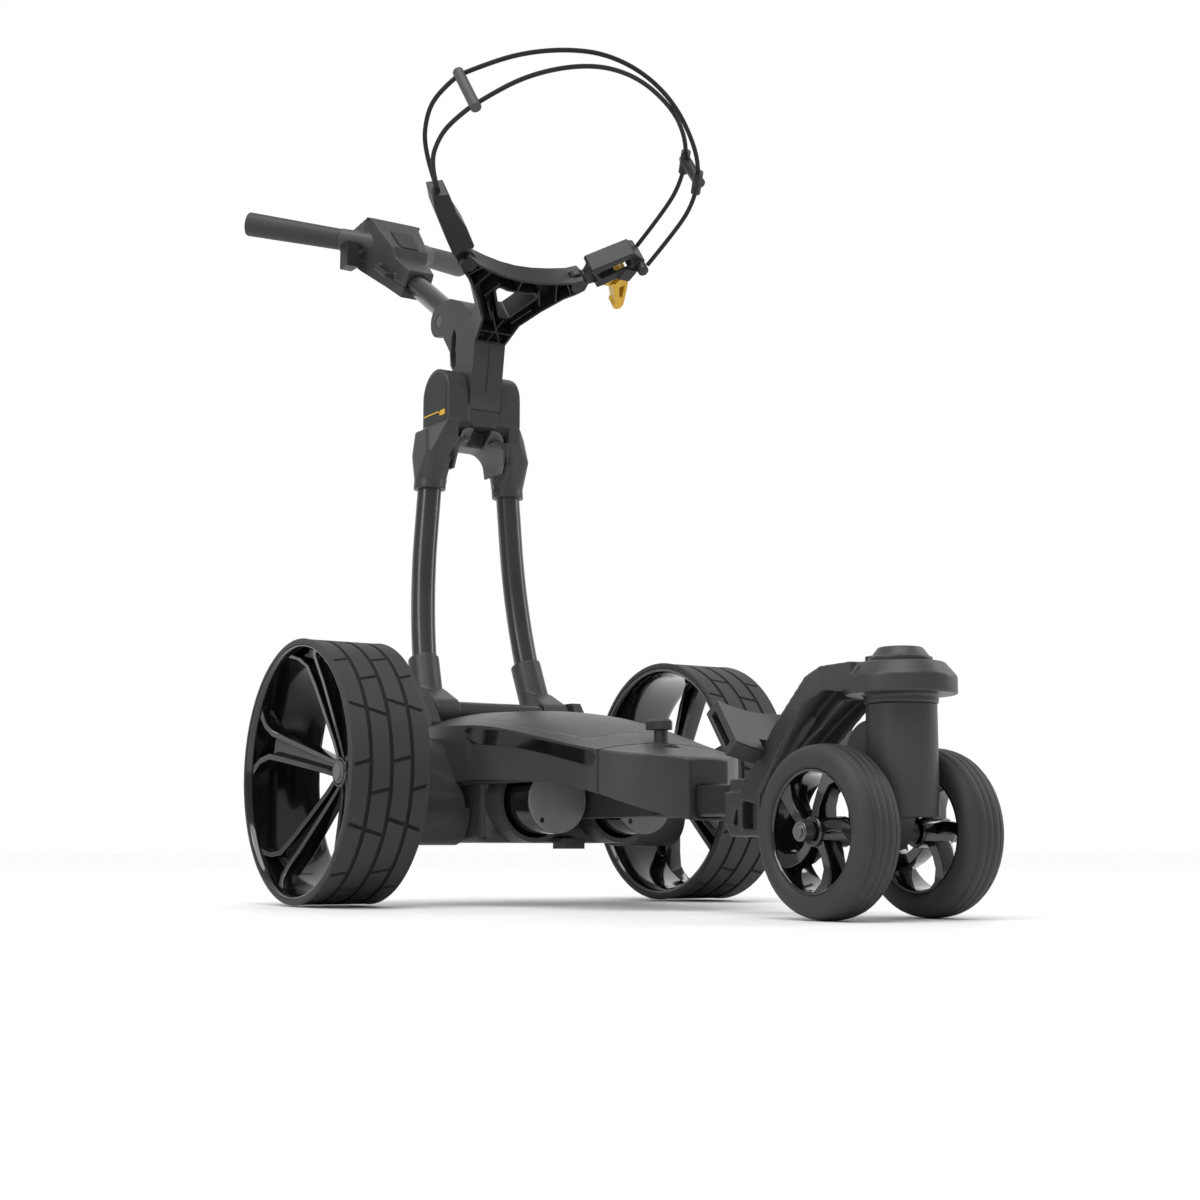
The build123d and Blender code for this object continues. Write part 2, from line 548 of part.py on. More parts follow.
sleeve_low = leg_path @ 1 + Vector(leg_path % 1) * -69
sleeve = rod(tuple(sleeve_low), tuple(leg_path @ 1 + Vector(leg_path % 1) * 14), SLEEVE_RADIUS)
cy, cz = COLUMN_PIVOT
yoke_side = outline((98, 606), (98, cz), (168, cz), (168, 582), (120, 582))
yoke_side += Pos(cy, cz) * Circle(EAR_RADIUS)
yoke = extrude(Plane(origin=(-YOKE_HALF, 0, 0), x_dir=(0, 1, 0), z_dir=(1, 0, 0)) * yoke_side, amount=YOKE_HALF * 2)
shoulder = [(37.5, 560), (72.6, 560), (71.6, 600), (66, 610), (53, 616), (37.5, 616)]
shoulder_slab = extrude(
    Plane(origin=(0, 156, 0), x_dir=(1, 0, 0), z_dir=(0, -1, 0)) * outline(*shoulder), amount=38
)
cheek = [(37.5, 545), (53, 545), (53, 620), (37.5, 620)]
cheek_slab = extrude(
    Plane(origin=(0, 165, 0), x_dir=(1, 0, 0), z_dir=(0, -1, 0)) * outline(*cheek), amount=62
)
for sign in (-1, 1):
    yoke += mirrored(sleeve, sign)
    yoke += mirrored(shoulder_slab, sign)
    yoke += mirrored(cheek_slab, sign)
notch = cross_rod((-COLUMN_HALF - SLOT_GAP, COLUMN_HALF + SLOT_GAP), cy, cz, COLUMN_FOOT_RADIUS + 1)
notch += block((-COLUMN_HALF - SLOT_GAP, COLUMN_HALF + SLOT_GAP), (80, 190), (cz, 700))
yoke -= notch
# the rear wall gives way to the back of the column, which swings down past it when the trolley folds
fold_relief = [(cy, cz), (cy + 57, cz), (cy + 57, cz - 71), (cy + 28, cz - 45.5), (cy + 23, cz - 29)]
yoke -= side_slab(fold_relief, (-COLUMN_HALF - SLOT_GAP, COLUMN_HALF + SLOT_GAP))
yoke -= block((-12, 12), (100, 128), (570, 598))
yoke -= cross_rod((-60, 60), cy, cz, FOLD_PIN_RADIUS)
yoke -= leg
yoke -= mirror(leg, Plane.YZ)

liner_outer = side_slab([(98.5, 545), (98.5, 605.4), (120, 581.9), (164, 581.9), (164, 545)], (-ARCH_HALF, ARCH_HALF))
liner_inner = side_slab(
    [(90, 540), (90, 611), (120 - 1, 581.9 - LINER_WALL), (170, 581.9 - LINER_WALL), (170, 540)],
    (-ARCH_HALF + LINER_WALL, ARCH_HALF - LINER_WALL),
)
liner = liner_outer - liner_inner
liner -= block((-12, 12), (100, 128), (570, 600))
liner -= block((-20, 20), (90, 121), (560, 610)) & side_slab([(90, 540), (90, 611), (121, 577), (121, 540)], (-20, 20))
liner -= yoke
parts["arch_liner"] = liner.solids().sort_by(SortBy.VOLUME)[-1]
parts["yoke"] = yoke
for side, sign in SIDES.items():
    parts["leg_" + side] = mirrored(leg, sign)
    parts["leg_socket_" + side] = mirrored(socket, sign)
parts["fold_pin"] = cross_rod((-50, 50), cy, cz, FOLD_PIN_RADIUS)

# ---------------------------------------------------------------- column and tilting stem
ty, tz = TILT_PIVOT
column_face = outline(*COLUMN_SIDE)
column_face += Pos(cy, cz) * Circle(COLUMN_FOOT_RADIUS)
column_face += Pos(ty, tz) * Circle(TILT_EYE_RADIUS)
column = extrude(Plane(origin=(-COLUMN_HALF, 0, 0), x_dir=(0, 1, 0), z_dir=(1, 0, 0)) * column_face, amount=COLUMN_HALF * 2)
column -= cross_rod((-60, 60), cy, cz, FOLD_PIN_RADIUS + RUNNING_GAP)


def stem_point(along, across):
    """(y, z) at a distance along the stem from the foot of its pivot, and across it."""
    a = math.radians(STEM_ANGLE)
    y = ty + along * math.cos(a) - (across + STEM_OFFSET) * math.sin(a)
    z = tz + along * math.sin(a) + (across + STEM_OFFSET) * math.cos(a)
    return y, z


def turned(point, angle):
    """(y, z) point turned about the tilt pivot."""
    a = math.radians(angle)
    y, z = point[0] - ty, point[1] - tz
    return ty + y * math.cos(a) - z * math.sin(a), tz + y * math.sin(a) + z * math.cos(a)


swing = TILT_RANGE + 2
gap_top = STEM_RADIUS + 1
sweep_outline = [
    turned(stem_point(-4, gap_top), swing), turned(stem_point(90, gap_top), swing),
    turned(stem_point(90, -gap_top), -swing), turned(stem_point(0, -gap_top), -swing), (ty - 3, tz - 14),
]
throat = side_slab(sweep_outline, (-CHEEK_INNER, CHEEK_INNER))
throat += cross_rod((-CHEEK_INNER, CHEEK_INNER), ty, tz, 24)
column -= throat
recess = side_slab([(136, 687), (144, 684), (150, 700), (148, 728), (141, 738), (136, 728)], (14, 30), 2)
column -= recess
column -= mirror(recess, Plane.YZ)
column += cross_rod((-19, 19), 141, 711, 4.5)
for sign in (-1, 1):
    column -= cross_rod((sign * 18.5, sign * 30), ty, tz, 8.5)
column -= cross_rod((-30, 30), ty, tz, 5)
parts["column"] = column
bolt = cross_rod((-22, 22), ty, tz, 5)
for sign in (-1, 1):
    bolt += cross_rod((sign * 18.5, sign * 22), ty, tz, 8.5)
parts["tilt_bolt"] = bolt

stem_start = stem_point(14, 0)
stem_end = stem_point(STEM_END, 0)
stem = rod((0, *stem_start), (0, *stem_end), STEM_RADIUS)
eye = cross_rod((-14.8, 14.8), ty, tz, 15)
stem += eye
stem -= cross_rod((-30, 30), ty, tz, 5 + RUNNING_GAP)
stem -= rod((0, *stem_point(40, 0)), (0, *stem_point(STEM_END + 5, 0)), STEM_RADIUS - 2)
parts["stem"] = stem

# ---------------------------------------------------------------- handle
stem_rise = math.radians(STEM_ANGLE)
along_axis = Vector(0, math.cos(stem_rise), math.sin(stem_rise))
across_axis = Vector(0, -math.sin(stem_rise), math.cos(stem_rise))
handle_origin = Vector(0, *HANDLE_ORIGIN)


def handle_section(along, low_half, high_half, low, high, inset=0):
    """Cross section of the handle housing, square to the stem."""
    plane = Plane(origin=handle_origin + along_axis * along, x_dir=(1, 0, 0), z_dir=along_axis * -1)
    corners = [
        (-low_half + inset, low + inset), (low_half - inset, low + inset),
        (high_half - inset, high - inset), (-high_half + inset, high - inset),
    ]
    return plane * outline(*corners)


def handle_body(inset=0):
    """Handle housing without its collars."""
    body = loft([handle_section(*station, inset) for station in HANDLE_STATIONS], ruled=True)
    tail_plane = Plane(origin=handle_origin + Vector(-HANDLE_TAIL_HALF + inset, 0, 0), x_dir=along_axis, z_dir=(1, 0, 0))
    tail = outline(*[(a, p - inset if p > 0 else p + inset) for a, p in HANDLE_TAIL])
    return body + extrude(tail_plane * tail, amount=(HANDLE_TAIL_HALF - inset) * 2)


grip_root = Vector(*GRIP_ROOT)
grip_end = Vector(*GRIP_END)
grip_axis = (grip_end - grip_root).normalized()
collar = rod(tuple(grip_root - grip_axis * COLLAR_LENGTH), GRIP_ROOT, GRIP_RADIUS + 1)
housing_solid = handle_body() + collar + mirror(collar, Plane.YZ)
inner_solid = handle_body(HANDLE_WALL)
inner_solid -= rod(tuple(handle_origin), tuple(handle_origin + along_axis * 60), 20)
inner_zone = Plane(origin=handle_origin + along_axis * 165, x_dir=(1, 0, 0), z_dir=along_axis * -1)
inner_solid &= extrude(inner_zone * Rectangle(300, 300), amount=103)
housing_solid -= inner_solid
stem_bore = rod((0, *stem_point(30, 0)), tuple(Vector(0, *stem_end)), STEM_RADIUS)
housing_solid -= stem_bore
split_low = Plane(origin=handle_origin + across_axis * -6, x_dir=(1, 0, 0), z_dir=across_axis * -1)
low_half = extrude(split_low * Rectangle(500, 600), amount=80)

port_rise = math.radians(PORT_ANGLE)
port_normal = Vector(0, -math.sin(port_rise), math.cos(port_rise))
port_along = Vector(0, math.cos(port_rise), math.sin(port_rise))
port_origin = Vector(0, *PORT_ORIGIN)
port_plane = Plane(origin=port_origin + port_along * 4, x_dir=(1, 0, 0), z_dir=port_normal)
user_fall = math.radians(USER_FACE_FALL)
user_normal = Vector(0, math.sin(user_fall), math.cos(user_fall))
user_plane = Plane(origin=Vector(0, 367.6, 955.3), x_dir=(1, 0, 0), z_dir=user_normal)

upper = housing_solid - low_half
flap_outline = [(-13, -20), (13, -20), (16, -8), (16, 24), (-16, 24), (-16, -8)]
flap_pocket = extrude(port_plane * offset(outline(*flap_outline), 0.4), amount=8, both=True)
flap = extrude(port_plane.offset(-1.2) * outline(*flap_outline), amount=2)
upper -= flap_pocket & extrude(Plane(origin=port_plane.origin - port_normal * 1.6, x_dir=(1, 0, 0), z_dir=port_normal)
                               * Rectangle(80, 80), amount=20)
parts["port_flap"] = flap
lens = user_plane * Pos(0, 14, -2) * Box(54, 20, 4)
dial = user_plane * Pos(0, 39, 4.5) * Cylinder(10, 8)
dial_pocket = user_plane * Pos(0, 39, 1.5) * Cylinder(10.5, 6)
button = user_plane * Pos(29, 39, 0.5) * Cylinder(6, 5)
button_pocket = user_plane * Pos(29, 39, 0) * Cylinder(6.3, 8)

upper -= lens
upper -= dial_pocket
upper -= button_pocket


def stem_block(x, along, across):
    """Box squared to the stem, from its extents across X, along the stem and across it."""
    plane = Plane(origin=handle_origin, x_dir=(1, 0, 0), z_dir=along_axis * -1)
    centre = ((x[0] + x[1]) / 2, (across[0] + across[1]) / 2, -(along[0] + along[1]) / 2)
    return plane * Pos(*centre) * Box(x[1] - x[0], across[1] - across[0], along[1] - along[0])


loop = stem_block((-41, -24), (26, 68), (-4, 4)) - stem_block((-37, -20), (31, 63), (-6, 6))
upper += loop - handle_body() - low_half
lower = housing_solid & low_half
parts["handle_cover"] = upper.solids().sort_by(SortBy.VOLUME)[-1]
parts["handle_base"] = lower.solids().sort_by(SortBy.VOLUME)[-1]
parts["display_lens"] = lens
parts["speed_dial"] = dial
parts["power_button"] = button

grip_root_plane = Plane(origin=grip_root, z_dir=grip_axis)
grip_mid_plane = Plane(origin=grip_root + grip_axis * 70, x_dir=grip_root_plane.x_dir, z_dir=grip_axis)
grip_end_plane = Plane(origin=grip_end, x_dir=grip_root_plane.x_dir, z_dir=grip_axis)
grip = loft([grip_root_plane * Circle(GRIP_RADIUS), grip_mid_plane * Circle(GRIP_RADIUS + 1),
             grip_end_plane * Circle(GRIP_RADIUS + 2)])
grip = fillet(grip.faces().sort_by(Axis.X)[-1].edges(), 3)
for side, sign in SIDES.items():
    parts["grip_" + side] = mirrored(grip, sign)
clip_x, clip_y, clip_z = CLIP_POSITION
clip = block((clip_x - 9, clip_x + 9), (clip_y - 12, clip_y + 12), (clip_z - 14, clip_z + 22))
clip -= block((clip_x - 6, clip_x + 20), (clip_y - 7, clip_y + 7), (clip_z - 10, clip_z + 6))
clip -= mirror(collar, Plane.YZ)
clip -= parts["grip_right"]
clip -= handle_body()
parts["accessory_clip"] = clip.solids().sort_by(SortBy.VOLUME)[-1]

# ---------------------------------------------------------------- upper bag cradle
bracket_face = outline(*[(x, n + BRACKET_BASE_N) for x, n in BRACKET_OUTLINE])
window_face = outline(*[(x, n + BRACKET_BASE_N) for x, n in BRACKET_WINDOW])
window_face = fillet(window_face.vertices(), 4)
rim_face = offset(window_face, RIB_WALL)
pocket_face = offset(bracket_face, -RIB_WALL) - rim_face
for (x0, n0), (x1, n1) in BRACKET_RIBS:
    length = math.hypot(x1 - x0, n1 - n0)
    angle = math.degrees(math.atan2(n1 - n0, x1 - x0))
    centre = ((x0 + x1) / 2, (n0 + n1) / 2 + BRACKET_BASE_N)
    pocket_face -= Pos(*centre) * Rot(0, 0, angle) * Rectangle(length, RIB_THICKNESS)
for sign in (-1, 1):
    pocket_face -= Pos(sign * ARM_PIVOT[0], ARM_PIVOT[1] + BRACKET_BASE_N) * Circle(ARM_EYE_RADIUS + 2)
bracket = extrude(cradle_plane(CRADLE_C[1]) * (bracket_face - window_face), amount=CRADLE_C[1] - CRADLE_C[0])
pockets = extrude(cradle_plane(CRADLE_C[0] + POCKET_DEPTH) * pocket_face, amount=POCKET_DEPTH + 5)
bracket -= pockets
third = (CRADLE_C[1] - CRADLE_C[0]) / 3
fork_gap = (CRADLE_C[0] + third - 0.4, CRADLE_C[1] - third + 0.4)
for sign in (-1, 1):
    eye_x, eye_n = sign * ARM_PIVOT[0], ARM_PIVOT[1] + BRACKET_BASE_N
    bracket -= cradle_rod(eye_x, eye_n, fork_gap, ARM_EYE_RADIUS + 3.5)
    bracket -= cradle_slab([(sign * 81, 98), (sign * 110, 98), (sign * 110, 140), (sign * 74, 140)], fork_gap)
    bracket += cradle_rod(eye_x, eye_n, CRADLE_C, ARM_PIN_RADIUS)
bracket -= column
parts["y_bracket"] = bracket.solids().sort_by(SortBy.VOLUME)[-1]


def swing_arm(shape, sign, window=None):
    """Cradle arm: full depth outside its pivot, a middle tongue inside the bracket's fork."""
    eye_x, eye_n = sign * ARM_PIVOT[0], ARM_PIVOT[1] + BRACKET_BASE_N
    body = cradle_slab(shape, CRADLE_C)
    body -= cradle_rod(eye_x, eye_n, (CRADLE_C[0] - 5, CRADLE_C[1] + 5), 23)
    tongue_c = fork_gap[0] + 0.4, fork_gap[1] - 0.4
    body += cradle_slab(shape, tongue_c)
    body += cradle_rod(eye_x, eye_n, tongue_c, ARM_EYE_RADIUS + 2)
    if window:
        body -= cradle_slab(window, (CRADLE_C[0] - 5, CRADLE_C[1] + 5), 1.5)
    return body - cradle_rod(eye_x, eye_n, (CRADLE_C[0] - 5, CRADLE_C[1] + 5), ARM_PIN_RADIUS + RUNNING_GAP)


plain_arm = swing_arm(PLAIN_ARM, -1)
lever_arm = swing_arm(LEVER_ARM, 1, LEVER_ARM_WINDOW)
bar_x, bar_n = ANCHOR_BAR[0], ANCHOR_BAR[1] + BRACKET_BASE_N
lever_arm += cradle_rod(bar_x, bar_n, (606, 664), ANCHOR_BAR_RADIUS)
lever_x, lever_n = LEVER_PIVOT[0], LEVER_PIVOT[1] + BRACKET_BASE_N
lug_zone = [(124, 134), (142, 134), (146, 152), (128, 152)]
for lug_c in ((617, 622), (649, 654)):
    lever_arm += cradle_slab(lug_zone, lug_c)
lever = cradle_slab(LEVER_OUTLINE, LEVER_C, 2)
lever += cradle_rod(lever_x, lever_n, LEVER_C, 7)
lever += cradle_rod(152, 90 + BRACKET_BASE_N, (LEVER_C[0] + 3, LEVER_C[1] - 3), 7)
lever -= cradle_slab([(120, 119), (130, 122), (134, 132), (126, 130)], (600, 670), 1)
lever -= cradle_slab([(138, 118), (146, 104), (150, 104), (144, 124)], (600, 670), 1)
lever -= cradle_rod(lever_x, lever_n, (600, 670), 3 + RUNNING_GAP)
lever_clearance = extrude(
    cradle_plane(LEVER_C[1] + 0.6) * (Pos(lever_x, lever_n) * Circle(15)), amount=LEVER_C[1] - LEVER_C[0] + 1.2
)
lever_arm -= lever_clearance
lever_arm -= extrude(
    cradle_plane(LEVER_C[1] + 0.6) * offset(outline(*[(x, n + BRACKET_BASE_N) for x, n in LEVER_OUTLINE]), 0.7),
    amount=LEVER_C[1] - LEVER_C[0] + 1.2,
)
lever_arm += cradle_rod(lever_x, lever_n, (617, 654), 3)

# ---------------------------------------------------------------- bungee
def strand_path(route, half):
    """Route of one strand: straight runs joined by arcs as large as the runs allow."""
    points = []
    for index, (x, n, apart) in enumerate(route):
        lift = CROSSING_LIFT.get(index, 0) * half if len(route) > len(PLAIN_ROUTE) else 0
        points.append(Vector(*cradle_point(x, n + lift, CORD_C + half * apart)))
    radii = []
    for before, corner, after in zip(points, points[1:], points[2:]):
        first = corner - before
        second = after - corner
        turn = math.radians(first.get_angle(second))
        radii.append(0.45 * min(first.length, second.length) / math.tan(turn / 2))
    print("cord radii", [round(radius) for radius in radii])
    return FilletPolyline(*points, radius=radii)


def strand(path):
    """Round cord along a path."""
    return sweep(Plane(origin=path @ 0, z_dir=path % 0) * Circle(CORD_RADIUS), path=path)


cord_names = {"a": 1, "b": -1}
for name, half in cord_names.items():
    plain_path = strand_path(PLAIN_ROUTE, half)
    lever_path = strand_path(LEVER_ROUTE, half)
    parts["bungee_right_" + name] = strand(plain_path)
    parts["bungee_left_" + name] = strand(lever_path)
    for path in (plain_path, lever_path):
        print("cord length", round(path.length, 1), "volume ratio",
              round(strand(path).volume / (math.pi * CORD_RADIUS ** 2 * path.length), 4))

clip_x, clip_n = -176.5, 680.5
cord_clip = cradle_rod(clip_x, clip_n, (CORD_C - CLIP_HALF_LENGTH, CORD_C + CLIP_HALF_LENGTH), 6.5)
slider_x, slider_n = 155, 650
slider = cradle_rod(slider_x, slider_n, (CORD_C - SLIDER_HALF_LENGTH, CORD_C + SLIDER_HALF_LENGTH), 7)
for half in (-1, 1):
    sleeve_c = CORD_C - half * 21.8
    slider += rod(cradle_point(148.5, 662, sleeve_c), cradle_point(160, 634, sleeve_c), 6)
for name in cord_names:
    for prefix in ("bungee_right_", "bungee_left_"):
        cord_clip -= parts[prefix + name]
        slider -= parts[prefix + name]
    plain_arm -= parts["bungee_right_" + name]
    lever_arm -= parts["bungee_left_" + name]
parts["cord_clip"] = cord_clip.solids().sort_by(SortBy.VOLUME)[-1]
parts["cord_slider"] = slider.solids().sort_by(SortBy.VOLUME)[-1]
parts["cradle_arm_right"] = plain_arm.solids().sort_by(SortBy.VOLUME)[-1]
parts["cradle_arm_left"] = lever_arm.solids().sort_by(SortBy.VOLUME)[-1]
parts["cord_lever"] = lever.solids().sort_by(SortBy.VOLUME)[-1]

os.makedirs("parts", exist_ok=True)
for name, piece in parts.items():
    export_step(piece, "parts/" + name + ".step")
print(len(parts), "pieces")
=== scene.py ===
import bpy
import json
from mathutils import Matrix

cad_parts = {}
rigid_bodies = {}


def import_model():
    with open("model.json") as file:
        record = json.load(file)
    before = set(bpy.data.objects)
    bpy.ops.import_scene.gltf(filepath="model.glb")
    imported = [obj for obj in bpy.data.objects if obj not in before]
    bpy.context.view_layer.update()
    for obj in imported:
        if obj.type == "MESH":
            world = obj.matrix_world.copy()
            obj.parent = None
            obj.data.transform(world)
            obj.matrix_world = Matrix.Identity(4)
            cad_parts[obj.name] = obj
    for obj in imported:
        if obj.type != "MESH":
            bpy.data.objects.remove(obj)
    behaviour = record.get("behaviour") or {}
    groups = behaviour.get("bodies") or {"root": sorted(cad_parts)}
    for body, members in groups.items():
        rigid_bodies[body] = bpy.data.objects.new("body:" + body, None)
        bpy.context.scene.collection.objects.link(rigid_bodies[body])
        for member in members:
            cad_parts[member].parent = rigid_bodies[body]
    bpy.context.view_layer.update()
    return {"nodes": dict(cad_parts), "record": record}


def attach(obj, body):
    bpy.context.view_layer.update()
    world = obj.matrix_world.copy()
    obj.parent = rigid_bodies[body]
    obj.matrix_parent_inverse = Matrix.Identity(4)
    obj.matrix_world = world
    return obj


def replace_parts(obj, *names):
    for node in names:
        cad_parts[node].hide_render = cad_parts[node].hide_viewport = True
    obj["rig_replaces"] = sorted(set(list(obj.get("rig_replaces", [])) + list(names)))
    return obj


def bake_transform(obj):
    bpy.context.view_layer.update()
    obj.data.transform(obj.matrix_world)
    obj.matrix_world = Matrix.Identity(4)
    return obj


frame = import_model()

# Electric golf trolley: studio scene. Metres, X across, -Y forward, +Z up.
import json
import math

import bmesh
import bpy
from mathutils import Matrix, Vector

scene = bpy.context.scene
SLOT_OF = {part["node"]: part["material_slot"] for part in frame["record"]["subparts"]}
BODY_OF = {node: body for body, nodes in frame["record"]["behaviour"]["bodies"].items() for node in nodes}


# ------------------------------------------------------------------ materials
def node_at(tree, kind, x, y, **inputs):
    node = tree.nodes.new(kind)
    node.location = (x, y)
    for name, value in inputs.items():
        node.inputs[name.replace("_", " ")].default_value = value
    return node


def surface(name, base, rough, spread=0.12, grain=900.0, grain_depth=0.15, metal=0.0, coat=0.0, tone=0.12):
    """Moulded or painted surface: mottled tone, uneven roughness and a fine grain."""
    material = bpy.data.materials.new(name)
    material.use_nodes = True
    tree = material.node_tree
    shader = tree.nodes["Principled BSDF"]
    shader.inputs["Metallic"].default_value = metal
    shader.inputs["Coat Weight"].default_value = coat
    shader.inputs["Coat Roughness"].default_value = 0.08
    shader.inputs["Specular IOR Level"].default_value = 0.4
    where = node_at(tree, "ShaderNodeTexCoord", -1100, 0)
    cloud = node_at(tree, "ShaderNodeTexNoise", -900, 200, Scale=14.0, Detail=5.0, Roughness=0.55)
    fine = node_at(tree, "ShaderNodeTexNoise", -900, -250, Scale=grain, Detail=3.0, Roughness=0.6)
    for noise in (cloud, fine):
        tree.links.new(where.outputs["Object"], noise.inputs["Vector"])
    ramp = tree.nodes.new("ShaderNodeValToRGB")
    ramp.location = (-600, 250)
    ramp.color_ramp.elements[0].position = 0.3
    ramp.color_ramp.elements[1].position = 0.7
    ramp.color_ramp.elements[0].color = (*[c * (1 - tone) for c in base], 1)
    ramp.color_ramp.elements[1].color = (*[min(1, c * (1 + tone)) for c in base], 1)
    tree.links.new(cloud.outputs["Fac"], ramp.inputs["Fac"])
    tree.links.new(ramp.outputs["Color"], shader.inputs["Base Color"])
    spread_node = node_at(tree, "ShaderNodeMapRange", -600, -20)
    spread_node.inputs["To Min"].default_value = max(0.02, rough - spread / 2)
    spread_node.inputs["To Max"].default_value = min(1.0, rough + spread / 2)
    tree.links.new(cloud.outputs["Fac"], spread_node.inputs["Value"])
    tree.links.new(spread_node.outputs["Result"], shader.inputs["Roughness"])
    bump = node_at(tree, "ShaderNodeBump", -300, -300, Strength=grain_depth, Distance=0.0004)
    tree.links.new(fine.outputs["Fac"], bump.inputs["Height"])
    tree.links.new(bump.outputs["Normal"], shader.inputs["Normal"])
    return material


MATERIALS = {
    "rubber_tread": surface("mat_rubber_tread", (0.03, 0.03, 0.031), 0.6, grain=1200, grain_depth=0.25),
    "gloss_black": surface("mat_gloss_black", (0.004, 0.004, 0.0045), 0.12, 0.05, 400, 0.02, coat=0.7),
    "end_cap_grey": surface("mat_end_cap", (0.17, 0.17, 0.17), 0.42, grain_depth=0.1),
    "button_grey": surface("mat_button", (0.13, 0.13, 0.13), 0.35),
    "tube_gunmetal": surface("mat_tube", (0.045, 0.041, 0.041), 0.3, 0.08, 1600, 0.06, metal=0.5, coat=0.3),
    "grip_rubber": surface("mat_grip", (0.022, 0.022, 0.023), 0.5, grain=1500, grain_depth=0.3),
    "lever_yellow": surface("mat_yellow", (0.62, 0.36, 0.02), 0.38),
    "cord_black": surface("mat_cord", (0.01, 0.01, 0.011), 0.75, grain=2600, grain_depth=0.6),
    "clip_grey": surface("mat_clip", (0.06, 0.06, 0.061), 0.5),
    "liner_grey": surface("mat_liner", (0.1, 0.1, 0.1), 0.5),
    "lens_glass": surface("mat_lens", (0.006, 0.006, 0.008), 0.06, 0.03, 300, 0.0, coat=1.0),
    "steel": surface("mat_steel", (0.16, 0.16, 0.165), 0.34, metal=0.9),
    "black_plastic": surface("mat_black_plastic", (0.011, 0.011, 0.012), 0.42, grain_depth=0.2),
    "charcoal_plastic": surface("mat_charcoal", (0.036, 0.036, 0.037), 0.4, grain_depth=0.22),
}
# lighter base colour for the outward faces of the spoke bars: painted reflection on the gloss black rim, with
# real gloss from the low roughness and coat
RIB_FACE_PAINTED_REFLECTION = surface("mat_rib_face_painted_reflection", (0.06, 0.06, 0.062), 0.22, 0.06, 400, 0.02, metal=0.6, coat=0.5)
# near-black rubber for the faces down in the tread grooves: painted shade in the recesses, the rubber is the
# same as the tread
GROOVE_PAINTED_SHADE = surface("mat_rubber_groove_painted_shade", (0.006, 0.006, 0.006), 0.8)


# ------------------------------------------------------------------ mesh helpers
def add_object(name, bm, body, slot, smooth=math.radians(35)):
    """Turns a bmesh into an object that rides on a CAD body."""
    bmesh.ops.recalc_face_normals(bm, faces=bm.faces)
    mesh = bpy.data.meshes.new(name)
    bm.to_mesh(mesh)
    bm.free()
    obj = bpy.data.objects.new(name, mesh)
    scene.collection.objects.link(obj)
    mesh.materials.append(MATERIALS[slot])
    for face in mesh.polygons:
        face.use_smooth = True
    mesh.set_sharp_from_angle(angle=smooth)
    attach(obj, body)
    return obj


def loft_rings(bm, rings, close_ends=False, wrap=True):
    """Faces between rings of points, each ring closed on itself."""
    made = [[bm.verts.new(p) for p in ring] for ring in rings]
    pairs = list(zip(made, made[1:]))
    if wrap:
        pairs.append((made[-1], made[0]))
    for low, high in pairs:
        for i in range(len(low)):
            j = (i + 1) % len(low)
            bm.faces.new((low[i], low[j], high[j], high[i]))
    if close_ends:
        bm.faces.new(made[0][::-1])
        bm.faces.new(made[-1])


def about_x(x, r, angle, centre):
    """Point at distance r from the wheel axis, angle from +Y towards +Z."""
    return Vector((x, centre[0] + r * math.cos(angle), centre[1] + r * math.sin(angle)))


def lathe(bm, profile, sign, centre, steps=128):
    """Closed (x, r) profile turned about the wheel axis."""
    rings = []
    for i in range(steps):
        angle = 2 * math.pi * i / steps
        rings.append([about_x(sign * x, r, angle, centre) for x, r in profile])
    loft_rings(bm, rings)


def bar(bm, points, widths, depths, sign, centre):
    """Bar through (x, r, angle) points: a width across and a depth inward from its outer face."""
    rings = []
    for (x, r, angle), width, depth in zip(points, widths, depths):
        mid = about_x(sign * x, r, angle, centre)
        side = Vector((0, -math.sin(angle), math.cos(angle))) * width / 2
        back = Vector((-sign * depth, 0, 0))
        crest = side * 0.8
        foot = side * 0.9
        edge = back * 0.15
        rings.append([mid - crest, mid + crest, mid + side + edge, mid + foot + back,
                      mid - foot + back, mid - side + edge])
    loft_rings(bm, rings, close_ends=True, wrap=False)


def soften_rim(rim):
    """Small rounding on the sharp edges of a moulded rim."""
    bevel = rim.modifiers.new("edges", "BEVEL")
    bevel.width = 0.0006
    bevel.segments = 2
    bevel.limit_method = "ANGLE"
    bevel.angle_limit = math.radians(40)


# (y, z) of the wheel axles
REAR = (0.0, 0.150)
FRONT = (-0.640, 0.078)
SIDES = {"left": 1, "right": -1}

# ------------------------------------------------------------------ rear tyres
TYRE_STEPS = 1008
GROOVES = (0.222, 0.2465, 0.271)
GROOVE_HALF = 0.0017
TREAD_DEPTH = 0.0036
CUTS_ROUND = 7


def tread_stations():
    """X stations across the tread, close together at the edges of the grooves."""
    stations = [0.2045]
    edges = (0.2045,) + GROOVES + (0.2895,)
    for low, high in zip(edges, edges[1:]):
        inner_low = low + (GROOVE_HALF + 0.0006 if low in GROOVES else 0)
        inner_high = high - (GROOVE_HALF + 0.0006 if high in GROOVES else 0)
        for i in range(1, 12):
            stations.append(inner_low + (inner_high - inner_low) * i / 12)
        stations.append(inner_high)
        if high in GROOVES:
            stations += [high - GROOVE_HALF, high + GROOVE_HALF, high + GROOVE_HALF + 0.0006]
    return stations


